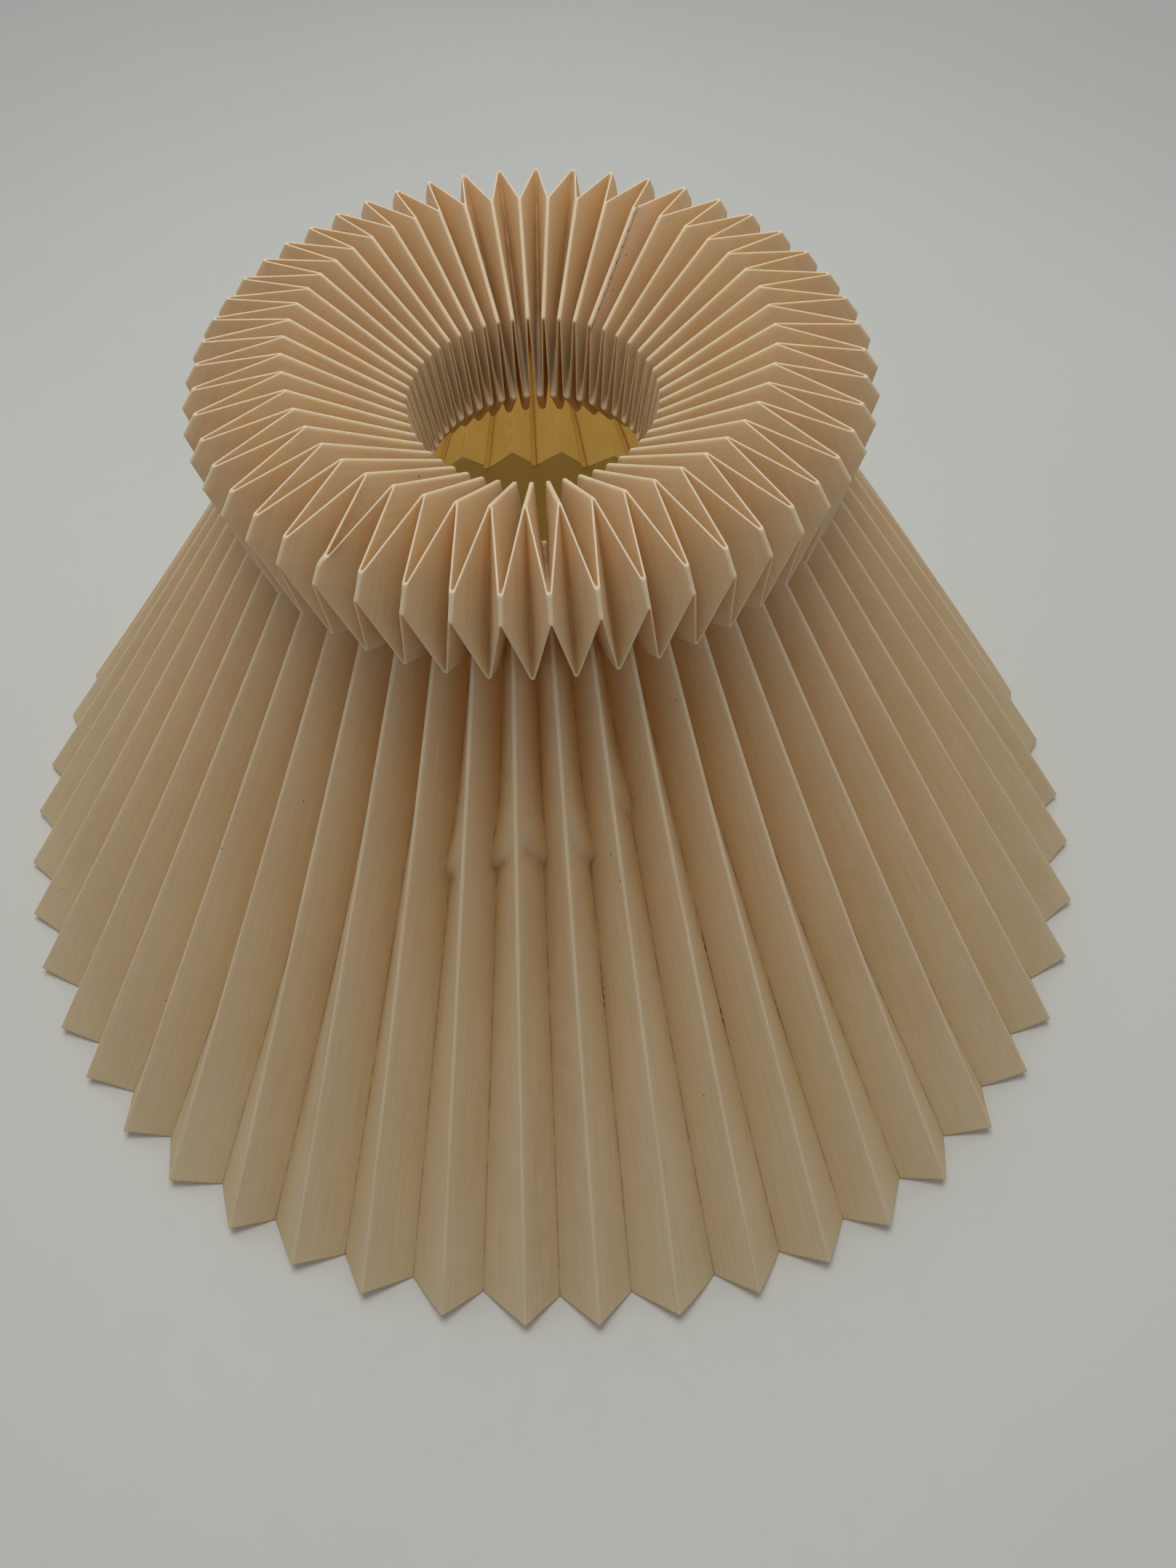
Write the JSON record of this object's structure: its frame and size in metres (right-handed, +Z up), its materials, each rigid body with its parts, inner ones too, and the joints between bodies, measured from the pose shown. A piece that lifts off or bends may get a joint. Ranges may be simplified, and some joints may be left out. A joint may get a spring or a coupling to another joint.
{
  "type": "pleated lampshade",
  "caption": "Pleated paper lampshade: a flared accordion skirt under a cross-folded collar ring with a central hole, closed by one stitched seam.",
  "frame": {"origin": "centre of the hem circle on the surface the shade stands on", "axes": "+Z up along the shade's axis, from the hem to the collar; -Y is the front, the seam is at the back right"},
  "size_m": [0.3999, 0.4, 0.2072],
  "materials": {
    "pleated_paper": "satin",
    "seam_thread": "matte"
  },
  "bodies": {
    "root": {"collar_underside": "pleated_paper", "collar_band": "pleated_paper", "collar_top": "pleated_paper", "collar_inner_wall": "pleated_paper", "seam_thread_collar": "seam_thread"},
    "pleat_01": {"skirt_pleat_01": "pleated_paper", "seam_thread_skirt": "seam_thread"},
    "pleat_02": {"skirt_pleat_02": "pleated_paper"},
    "pleat_03": {"skirt_pleat_03": "pleated_paper"},
    "pleat_04": {"skirt_pleat_04": "pleated_paper"},
    "pleat_05": {"skirt_pleat_05": "pleated_paper"},
    "pleat_06": {"skirt_pleat_06": "pleated_paper"},
    "pleat_07": {"skirt_pleat_07": "pleated_paper"},
    "pleat_08": {"skirt_pleat_08": "pleated_paper"},
    "pleat_09": {"skirt_pleat_09": "pleated_paper"},
    "pleat_10": {"skirt_pleat_10": "pleated_paper"},
    "pleat_11": {"skirt_pleat_11": "pleated_paper"},
    "pleat_12": {"skirt_pleat_12": "pleated_paper"},
    "pleat_13": {"skirt_pleat_13": "pleated_paper"},
    "pleat_14": {"skirt_pleat_14": "pleated_paper"},
    "pleat_15": {"skirt_pleat_15": "pleated_paper"},
    "pleat_16": {"skirt_pleat_16": "pleated_paper"},
    "pleat_17": {"skirt_pleat_17": "pleated_paper"},
    "pleat_18": {"skirt_pleat_18": "pleated_paper"},
    "pleat_19": {"skirt_pleat_19": "pleated_paper"},
    "pleat_20": {"skirt_pleat_20": "pleated_paper"},
    "pleat_21": {"skirt_pleat_21": "pleated_paper"},
    "pleat_22": {"skirt_pleat_22": "pleated_paper"},
    "pleat_23": {"skirt_pleat_23": "pleated_paper"},
    "pleat_24": {"skirt_pleat_24": "pleated_paper"},
    "pleat_25": {"skirt_pleat_25": "pleated_paper"},
    "pleat_26": {"skirt_pleat_26": "pleated_paper"},
    "pleat_27": {"skirt_pleat_27": "pleated_paper"},
    "pleat_28": {"skirt_pleat_28": "pleated_paper"},
    "pleat_29": {"skirt_pleat_29": "pleated_paper"},
    "pleat_30": {"skirt_pleat_30": "pleated_paper"},
    "pleat_31": {"skirt_pleat_31": "pleated_paper"},
    "pleat_32": {"skirt_pleat_32": "pleated_paper"},
    "pleat_33": {"skirt_pleat_33": "pleated_paper"},
    "pleat_34": {"skirt_pleat_34": "pleated_paper"},
    "pleat_35": {"skirt_pleat_35": "pleated_paper"},
    "pleat_36": {"skirt_pleat_36": "pleated_paper"},
    "pleat_37": {"skirt_pleat_37": "pleated_paper"},
    "pleat_38": {"skirt_pleat_38": "pleated_paper"},
    "pleat_39": {"skirt_pleat_39": "pleated_paper"},
    "pleat_40": {"skirt_pleat_40": "pleated_paper"},
    "pleat_41": {"skirt_pleat_41": "pleated_paper"},
    "pleat_42": {"skirt_pleat_42": "pleated_paper"},
    "pleat_43": {"skirt_pleat_43": "pleated_paper"},
    "pleat_44": {"skirt_pleat_44": "pleated_paper"},
    "pleat_45": {"skirt_pleat_45": "pleated_paper"},
    "pleat_46": {"skirt_pleat_46": "pleated_paper"},
    "pleat_47": {"skirt_pleat_47": "pleated_paper"},
    "pleat_48": {"skirt_pleat_48": "pleated_paper"},
    "pleat_49": {"skirt_pleat_49": "pleated_paper"},
    "pleat_50": {"skirt_pleat_50": "pleated_paper"},
    "pleat_51": {"skirt_pleat_51": "pleated_paper"}
  },
  "joints": [
    {"name": "pleat_01_flare", "type": "hinge", "parent": "root", "child": "pleat_01", "pos_m": [0.02781, 0.06222, 0.1723], "axis": [0.913, -0.4081, 0], "range_deg": [0, 6], "stiffness_Nm_per_rad": 0.08, "springref_deg": -8.59},
    {"name": "pleat_02_flare", "type": "hinge", "parent": "root", "child": "pleat_02", "pos_m": [0.0192, 0.06539, 0.1723], "axis": [0.9595, -0.2818, 0], "range_deg": [0, 6], "stiffness_Nm_per_rad": 0.08, "springref_deg": -8.59},
    {"name": "pleat_03_flare", "type": "hinge", "parent": "root", "child": "pleat_03", "pos_m": [0.01037, 0.06736, 0.1723], "axis": [0.9884, -0.1522, 0], "range_deg": [0, 6], "stiffness_Nm_per_rad": 0.08, "springref_deg": -8.59},
    {"name": "pleat_04_flare", "type": "hinge", "parent": "root", "child": "pleat_04", "pos_m": [0.00151, 0.06813, 0.1723], "axis": [0.9998, -0.0222, 0], "range_deg": [0, 6], "stiffness_Nm_per_rad": 0.08, "springref_deg": -8.59},
    {"name": "pleat_05_flare", "type": "hinge", "parent": "root", "child": "pleat_05", "pos_m": [-0.0072, 0.06777, 0.1723], "axis": [0.9944, 0.1056, 0], "range_deg": [0, 6], "stiffness_Nm_per_rad": 0.08, "springref_deg": -8.59},
    {"name": "pleat_06_flare", "type": "hinge", "parent": "root", "child": "pleat_06", "pos_m": [-0.01561, 0.06634, 0.1723], "axis": [0.9734, 0.229, 0], "range_deg": [0, 6], "stiffness_Nm_per_rad": 0.08, "springref_deg": -8.59},
    {"name": "pleat_07_flare", "type": "hinge", "parent": "root", "child": "pleat_07", "pos_m": [-0.02358, 0.06394, 0.1723], "axis": [0.9382, 0.3461, 0], "range_deg": [0, 6], "stiffness_Nm_per_rad": 0.08, "springref_deg": -8.59},
    {"name": "pleat_08_flare", "type": "hinge", "parent": "root", "child": "pleat_08", "pos_m": [-0.03104, 0.06067, 0.1723], "axis": [0.8902, 0.4555, 0], "range_deg": [0, 6], "stiffness_Nm_per_rad": 0.08, "springref_deg": -8.59},
    {"name": "pleat_09_flare", "type": "hinge", "parent": "root", "child": "pleat_09", "pos_m": [-0.0379, 0.05664, 0.1723], "axis": [0.8311, 0.5562, 0], "range_deg": [0, 6], "stiffness_Nm_per_rad": 0.08, "springref_deg": -8.59},
    {"name": "pleat_10_flare", "type": "hinge", "parent": "root", "child": "pleat_10", "pos_m": [-0.04413, 0.05193, 0.1723], "axis": [0.7621, 0.6475, 0], "range_deg": [0, 6], "stiffness_Nm_per_rad": 0.08, "springref_deg": -8.59},
    {"name": "pleat_11_flare", "type": "hinge", "parent": "root", "child": "pleat_11", "pos_m": [-0.04968, 0.04665, 0.1723], "axis": [0.6845, 0.729, 0], "range_deg": [0, 6], "stiffness_Nm_per_rad": 0.08, "springref_deg": -8.59},
    {"name": "pleat_12_flare", "type": "hinge", "parent": "root", "child": "pleat_12", "pos_m": [-0.05455, 0.04085, 0.1723], "axis": [0.5994, 0.8004, 0], "range_deg": [0, 6], "stiffness_Nm_per_rad": 0.08, "springref_deg": -8.59},
    {"name": "pleat_13_flare", "type": "hinge", "parent": "root", "child": "pleat_13", "pos_m": [-0.05871, 0.0346, 0.1723], "axis": [0.5078, 0.8615, 0], "range_deg": [0, 6], "stiffness_Nm_per_rad": 0.08, "springref_deg": -8.59},
    {"name": "pleat_14_flare", "type": "hinge", "parent": "root", "child": "pleat_14", "pos_m": [-0.06215, 0.02796, 0.1723], "axis": [0.4103, 0.912, 0], "range_deg": [0, 6], "stiffness_Nm_per_rad": 0.08, "springref_deg": -8.59},
    {"name": "pleat_15_flare", "type": "hinge", "parent": "root", "child": "pleat_15", "pos_m": [-0.06484, 0.02097, 0.1723], "axis": [0.3077, 0.9515, 0], "range_deg": [0, 6], "stiffness_Nm_per_rad": 0.08, "springref_deg": -8.59},
    {"name": "pleat_16_flare", "type": "hinge", "parent": "root", "child": "pleat_16", "pos_m": [-0.06676, 0.01368, 0.1723], "axis": [0.2007, 0.9796, 0], "range_deg": [0, 6], "stiffness_Nm_per_rad": 0.08, "springref_deg": -8.59},
    {"name": "pleat_17_flare", "type": "hinge", "parent": "root", "child": "pleat_17", "pos_m": [-0.06787, 0.00614, 0.1723], "axis": [0.0901, 0.9959, 0], "range_deg": [0, 6], "stiffness_Nm_per_rad": 0.08, "springref_deg": -8.59},
    {"name": "pleat_18_flare", "type": "hinge", "parent": "root", "child": "pleat_18", "pos_m": [-0.06813, -0.00157, 0.1723], "axis": [-0.0231, 0.9997, 0], "range_deg": [0, 6], "stiffness_Nm_per_rad": 0.08, "springref_deg": -8.59},
    {"name": "pleat_19_flare", "type": "hinge", "parent": "root", "child": "pleat_19", "pos_m": [-0.0675, -0.00939, 0.1723], "axis": [-0.1378, 0.9905, 0], "range_deg": [0, 6], "stiffness_Nm_per_rad": 0.08, "springref_deg": -8.59},
    {"name": "pleat_20_flare", "type": "hinge", "parent": "root", "child": "pleat_20", "pos_m": [-0.06594, -0.01721, 0.1723], "axis": [-0.2526, 0.9676, 0], "range_deg": [0, 6], "stiffness_Nm_per_rad": 0.08, "springref_deg": -8.59},
    {"name": "pleat_21_flare", "type": "hinge", "parent": "root", "child": "pleat_21", "pos_m": [-0.06343, -0.02492, 0.1723], "axis": [-0.3657, 0.9307, 0], "range_deg": [0, 6], "stiffness_Nm_per_rad": 0.08, "springref_deg": -8.59},
    {"name": "pleat_22_flare", "type": "hinge", "parent": "root", "child": "pleat_22", "pos_m": [-0.05996, -0.03239, 0.1723], "axis": [-0.4753, 0.8798, 0], "range_deg": [0, 6], "stiffness_Nm_per_rad": 0.08, "springref_deg": -8.59},
    {"name": "pleat_23_flare", "type": "hinge", "parent": "root", "child": "pleat_23", "pos_m": [-0.05555, -0.03948, 0.1723], "axis": [-0.5794, 0.8151, 0], "range_deg": [0, 6], "stiffness_Nm_per_rad": 0.08, "springref_deg": -8.59},
    {"name": "pleat_24_flare", "type": "hinge", "parent": "root", "child": "pleat_24", "pos_m": [-0.05023, -0.04605, 0.1723], "axis": [-0.6758, 0.7371, 0], "range_deg": [0, 6], "stiffness_Nm_per_rad": 0.08, "springref_deg": -8.59},
    {"name": "pleat_25_flare", "type": "hinge", "parent": "root", "child": "pleat_25", "pos_m": [-0.04409, -0.05196, 0.1723], "axis": [-0.7625, 0.647, 0], "range_deg": [0, 6], "stiffness_Nm_per_rad": 0.08, "springref_deg": -8.59},
    {"name": "pleat_26_flare", "type": "hinge", "parent": "root", "child": "pleat_26", "pos_m": [-0.03722, -0.05709, 0.1723], "axis": [-0.8377, 0.5462, 0], "range_deg": [0, 6], "stiffness_Nm_per_rad": 0.08, "springref_deg": -8.59},
    {"name": "pleat_27_flare", "type": "hinge", "parent": "root", "child": "pleat_27", "pos_m": [-0.02975, -0.06132, 0.1723], "axis": [-0.8997, 0.4365, 0], "range_deg": [0, 6], "stiffness_Nm_per_rad": 0.08, "springref_deg": -8.59},
    {"name": "pleat_28_flare", "type": "hinge", "parent": "root", "child": "pleat_28", "pos_m": [-0.0218, -0.06457, 0.1723], "axis": [-0.9475, 0.3199, 0], "range_deg": [0, 6], "stiffness_Nm_per_rad": 0.08, "springref_deg": -8.59},
    {"name": "pleat_29_flare", "type": "hinge", "parent": "root", "child": "pleat_29", "pos_m": [-0.01354, -0.06679, 0.1723], "axis": [-0.9801, 0.1987, 0], "range_deg": [0, 6], "stiffness_Nm_per_rad": 0.08, "springref_deg": -8.59},
    {"name": "pleat_30_flare", "type": "hinge", "parent": "root", "child": "pleat_30", "pos_m": [-0.00511, -0.06796, 0.1723], "axis": [-0.9972, 0.075, 0], "range_deg": [0, 6], "stiffness_Nm_per_rad": 0.08, "springref_deg": -8.59},
    {"name": "pleat_31_flare", "type": "hinge", "parent": "root", "child": "pleat_31", "pos_m": [0.00333, -0.06807, 0.1723], "axis": [-0.9988, -0.0488, 0], "range_deg": [0, 6], "stiffness_Nm_per_rad": 0.08, "springref_deg": -8.59},
    {"name": "pleat_32_flare", "type": "hinge", "parent": "root", "child": "pleat_32", "pos_m": [0.01165, -0.06715, 0.1723], "axis": [-0.9853, -0.171, 0], "range_deg": [0, 6], "stiffness_Nm_per_rad": 0.08, "springref_deg": -8.59},
    {"name": "pleat_33_flare", "type": "hinge", "parent": "root", "child": "pleat_33", "pos_m": [0.01973, -0.06523, 0.1723], "axis": [-0.9572, -0.2895, 0], "range_deg": [0, 6], "stiffness_Nm_per_rad": 0.08, "springref_deg": -8.59},
    {"name": "pleat_34_flare", "type": "hinge", "parent": "root", "child": "pleat_34", "pos_m": [0.02746, -0.06237, 0.1723], "axis": [-0.9153, -0.4029, 0], "range_deg": [0, 6], "stiffness_Nm_per_rad": 0.08, "springref_deg": -8.59},
    {"name": "pleat_35_flare", "type": "hinge", "parent": "root", "child": "pleat_35", "pos_m": [0.03474, -0.05863, 0.1723], "axis": [-0.8603, -0.5097, 0], "range_deg": [0, 6], "stiffness_Nm_per_rad": 0.08, "springref_deg": -8.59},
    {"name": "pleat_36_flare", "type": "hinge", "parent": "root", "child": "pleat_36", "pos_m": [0.0415, -0.05406, 0.1723], "axis": [-0.7933, -0.6089, 0], "range_deg": [0, 6], "stiffness_Nm_per_rad": 0.08, "springref_deg": -8.59},
    {"name": "pleat_37_flare", "type": "hinge", "parent": "root", "child": "pleat_37", "pos_m": [0.04765, -0.04872, 0.1723], "axis": [-0.7149, -0.6992, 0], "range_deg": [0, 6], "stiffness_Nm_per_rad": 0.08, "springref_deg": -8.59},
    {"name": "pleat_38_flare", "type": "hinge", "parent": "root", "child": "pleat_38", "pos_m": [0.05314, -0.04267, 0.1723], "axis": [-0.6261, -0.7798, 0], "range_deg": [0, 6], "stiffness_Nm_per_rad": 0.08, "springref_deg": -8.59},
    {"name": "pleat_39_flare", "type": "hinge", "parent": "root", "child": "pleat_39", "pos_m": [0.05789, -0.03596, 0.1723], "axis": [-0.5277, -0.8495, 0], "range_deg": [0, 6], "stiffness_Nm_per_rad": 0.08, "springref_deg": -8.59},
    {"name": "pleat_40_flare", "type": "hinge", "parent": "root", "child": "pleat_40", "pos_m": [0.06183, -0.02866, 0.1723], "axis": [-0.4206, -0.9072, 0], "range_deg": [0, 6], "stiffness_Nm_per_rad": 0.08, "springref_deg": -8.59},
    {"name": "pleat_41_flare", "type": "hinge", "parent": "root", "child": "pleat_41", "pos_m": [0.06488, -0.02085, 0.1723], "axis": [-0.3059, -0.9521, 0], "range_deg": [0, 6], "stiffness_Nm_per_rad": 0.08, "springref_deg": -8.59},
    {"name": "pleat_42_flare", "type": "hinge", "parent": "root", "child": "pleat_42", "pos_m": [0.06697, -0.0126, 0.1723], "axis": [-0.1849, -0.9828, 0], "range_deg": [0, 6], "stiffness_Nm_per_rad": 0.08, "springref_deg": -8.59},
    {"name": "pleat_43_flare", "type": "hinge", "parent": "root", "child": "pleat_43", "pos_m": [0.06803, -0.00403, 0.1723], "axis": [-0.0591, -0.9983, 0], "range_deg": [0, 6], "stiffness_Nm_per_rad": 0.08, "springref_deg": -8.59},
    {"name": "pleat_44_flare", "type": "hinge", "parent": "root", "child": "pleat_44", "pos_m": [0.06798, 0.00476, 0.1723], "axis": [0.0698, -0.9976, 0], "range_deg": [0, 6], "stiffness_Nm_per_rad": 0.08, "springref_deg": -8.59},
    {"name": "pleat_45_flare", "type": "hinge", "parent": "root", "child": "pleat_45", "pos_m": [0.06678, 0.01359, 0.1723], "axis": [0.1994, -0.9799, 0], "range_deg": [0, 6], "stiffness_Nm_per_rad": 0.08, "springref_deg": -8.59},
    {"name": "pleat_46_flare", "type": "hinge", "parent": "root", "child": "pleat_46", "pos_m": [0.06439, 0.02232, 0.1723], "axis": [0.3275, -0.9449, 0], "range_deg": [0, 6], "stiffness_Nm_per_rad": 0.08, "springref_deg": -8.59},
    {"name": "pleat_47_flare", "type": "hinge", "parent": "root", "child": "pleat_47", "pos_m": [0.06082, 0.03075, 0.1723], "axis": [0.4513, -0.8924, 0], "range_deg": [0, 6], "stiffness_Nm_per_rad": 0.08, "springref_deg": -8.59},
    {"name": "pleat_48_flare", "type": "hinge", "parent": "root", "child": "pleat_48", "pos_m": [0.05609, 0.0387, 0.1723], "axis": [0.5679, -0.8231, 0], "range_deg": [0, 6], "stiffness_Nm_per_rad": 0.08, "springref_deg": -8.59},
    {"name": "pleat_49_flare", "type": "hinge", "parent": "root", "child": "pleat_49", "pos_m": [0.0503, 0.04599, 0.1723], "axis": [0.6748, -0.738, 0], "range_deg": [0, 6], "stiffness_Nm_per_rad": 0.08, "springref_deg": -8.59},
    {"name": "pleat_50_flare", "type": "hinge", "parent": "root", "child": "pleat_50", "pos_m": [0.04354, 0.05242, 0.1723], "axis": [0.7693, -0.6389, 0], "range_deg": [0, 6], "stiffness_Nm_per_rad": 0.08, "springref_deg": -8.59},
    {"name": "pleat_51_flare", "type": "hinge", "parent": "root", "child": "pleat_51", "pos_m": [0.03599, 0.05787, 0.1723], "axis": [0.8492, -0.5281, 0], "range_deg": [0, 6], "stiffness_Nm_per_rad": 0.08, "springref_deg": -8.59}
  ],
  "couplings": [
    {"joint": "pleat_02_flare", "follows": "pleat_01_flare", "ratio": 1},
    {"joint": "pleat_03_flare", "follows": "pleat_01_flare", "ratio": 1},
    {"joint": "pleat_04_flare", "follows": "pleat_01_flare", "ratio": 1},
    {"joint": "pleat_05_flare", "follows": "pleat_01_flare", "ratio": 1},
    {"joint": "pleat_06_flare", "follows": "pleat_01_flare", "ratio": 1},
    {"joint": "pleat_07_flare", "follows": "pleat_01_flare", "ratio": 1},
    {"joint": "pleat_08_flare", "follows": "pleat_01_flare", "ratio": 1},
    {"joint": "pleat_09_flare", "follows": "pleat_01_flare", "ratio": 1},
    {"joint": "pleat_10_flare", "follows": "pleat_01_flare", "ratio": 1},
    {"joint": "pleat_11_flare", "follows": "pleat_01_flare", "ratio": 1},
    {"joint": "pleat_12_flare", "follows": "pleat_01_flare", "ratio": 1},
    {"joint": "pleat_13_flare", "follows": "pleat_01_flare", "ratio": 1},
    {"joint": "pleat_14_flare", "follows": "pleat_01_flare", "ratio": 1},
    {"joint": "pleat_15_flare", "follows": "pleat_01_flare", "ratio": 1},
    {"joint": "pleat_16_flare", "follows": "pleat_01_flare", "ratio": 1},
    {"joint": "pleat_17_flare", "follows": "pleat_01_flare", "ratio": 1},
    {"joint": "pleat_18_flare", "follows": "pleat_01_flare", "ratio": 1},
    {"joint": "pleat_19_flare", "follows": "pleat_01_flare", "ratio": 1},
    {"joint": "pleat_20_flare", "follows": "pleat_01_flare", "ratio": 1},
    {"joint": "pleat_21_flare", "follows": "pleat_01_flare", "ratio": 1},
    {"joint": "pleat_22_flare", "follows": "pleat_01_flare", "ratio": 1},
    {"joint": "pleat_23_flare", "follows": "pleat_01_flare", "ratio": 1},
    {"joint": "pleat_24_flare", "follows": "pleat_01_flare", "ratio": 1},
    {"joint": "pleat_25_flare", "follows": "pleat_01_flare", "ratio": 1},
    {"joint": "pleat_26_flare", "follows": "pleat_01_flare", "ratio": 1},
    {"joint": "pleat_27_flare", "follows": "pleat_01_flare", "ratio": 1},
    {"joint": "pleat_28_flare", "follows": "pleat_01_flare", "ratio": 1},
    {"joint": "pleat_29_flare", "follows": "pleat_01_flare", "ratio": 1},
    {"joint": "pleat_30_flare", "follows": "pleat_01_flare", "ratio": 1},
    {"joint": "pleat_31_flare", "follows": "pleat_01_flare", "ratio": 1},
    {"joint": "pleat_32_flare", "follows": "pleat_01_flare", "ratio": 1},
    {"joint": "pleat_33_flare", "follows": "pleat_01_flare", "ratio": 1},
    {"joint": "pleat_34_flare", "follows": "pleat_01_flare", "ratio": 1},
    {"joint": "pleat_35_flare", "follows": "pleat_01_flare", "ratio": 1},
    {"joint": "pleat_36_flare", "follows": "pleat_01_flare", "ratio": 1},
    {"joint": "pleat_37_flare", "follows": "pleat_01_flare", "ratio": 1},
    {"joint": "pleat_38_flare", "follows": "pleat_01_flare", "ratio": 1},
    {"joint": "pleat_39_flare", "follows": "pleat_01_flare", "ratio": 1},
    {"joint": "pleat_40_flare", "follows": "pleat_01_flare", "ratio": 1},
    {"joint": "pleat_41_flare", "follows": "pleat_01_flare", "ratio": 1},
    {"joint": "pleat_42_flare", "follows": "pleat_01_flare", "ratio": 1},
    {"joint": "pleat_43_flare", "follows": "pleat_01_flare", "ratio": 1},
    {"joint": "pleat_44_flare", "follows": "pleat_01_flare", "ratio": 1},
    {"joint": "pleat_45_flare", "follows": "pleat_01_flare", "ratio": 1},
    {"joint": "pleat_46_flare", "follows": "pleat_01_flare", "ratio": 1},
    {"joint": "pleat_47_flare", "follows": "pleat_01_flare", "ratio": 1},
    {"joint": "pleat_48_flare", "follows": "pleat_01_flare", "ratio": 1},
    {"joint": "pleat_49_flare", "follows": "pleat_01_flare", "ratio": 1},
    {"joint": "pleat_50_flare", "follows": "pleat_01_flare", "ratio": 1},
    {"joint": "pleat_51_flare", "follows": "pleat_01_flare", "ratio": 1}
  ]
}
